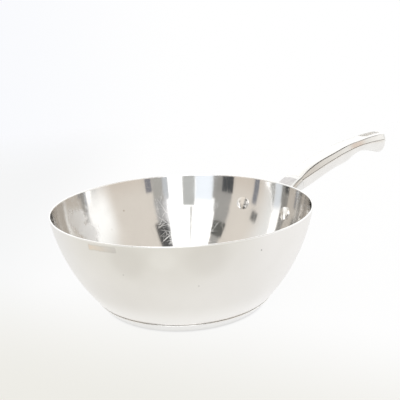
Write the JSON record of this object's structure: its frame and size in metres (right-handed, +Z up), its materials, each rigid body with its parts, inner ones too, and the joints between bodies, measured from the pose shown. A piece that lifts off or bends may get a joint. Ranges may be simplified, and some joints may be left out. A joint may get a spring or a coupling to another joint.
{
  "type": "saucepan",
  "caption": "Stainless steel saucepan with a flared round wall, an encapsulated flat base and a long hollow handle with a hanging slot, riveted to the wall",
  "frame": {"origin": "centre of the flat base, on the surface the pan stands on", "axes": "+Z up along the axis of the bowl, +X from the bowl out along the handle, +Y to the left of the handle seen from the bowl"},
  "size_m": [0.4389, 0.2398, 0.1191],
  "materials": {
    "bowl_steel": "satin spun outside, polished and scratched inside",
    "capsule_steel": "turned satin",
    "disc_aluminium": "plain mill finish",
    "handle_steel": "polished",
    "rivet_steel": "polished"
  },
  "bodies": {
    "root": {"pan_body": "bowl_steel", "heat_spreader_disc": "disc_aluminium", "base_capsule": "capsule_steel", "handle_bracket": "handle_steel", "rivet_left": "rivet_steel", "rivet_right": "rivet_steel", "handle_upper_shell": "handle_steel", "handle_lower_shell": "handle_steel", "hang_slot_liner": "handle_steel"}
  },
  "joints": []
}
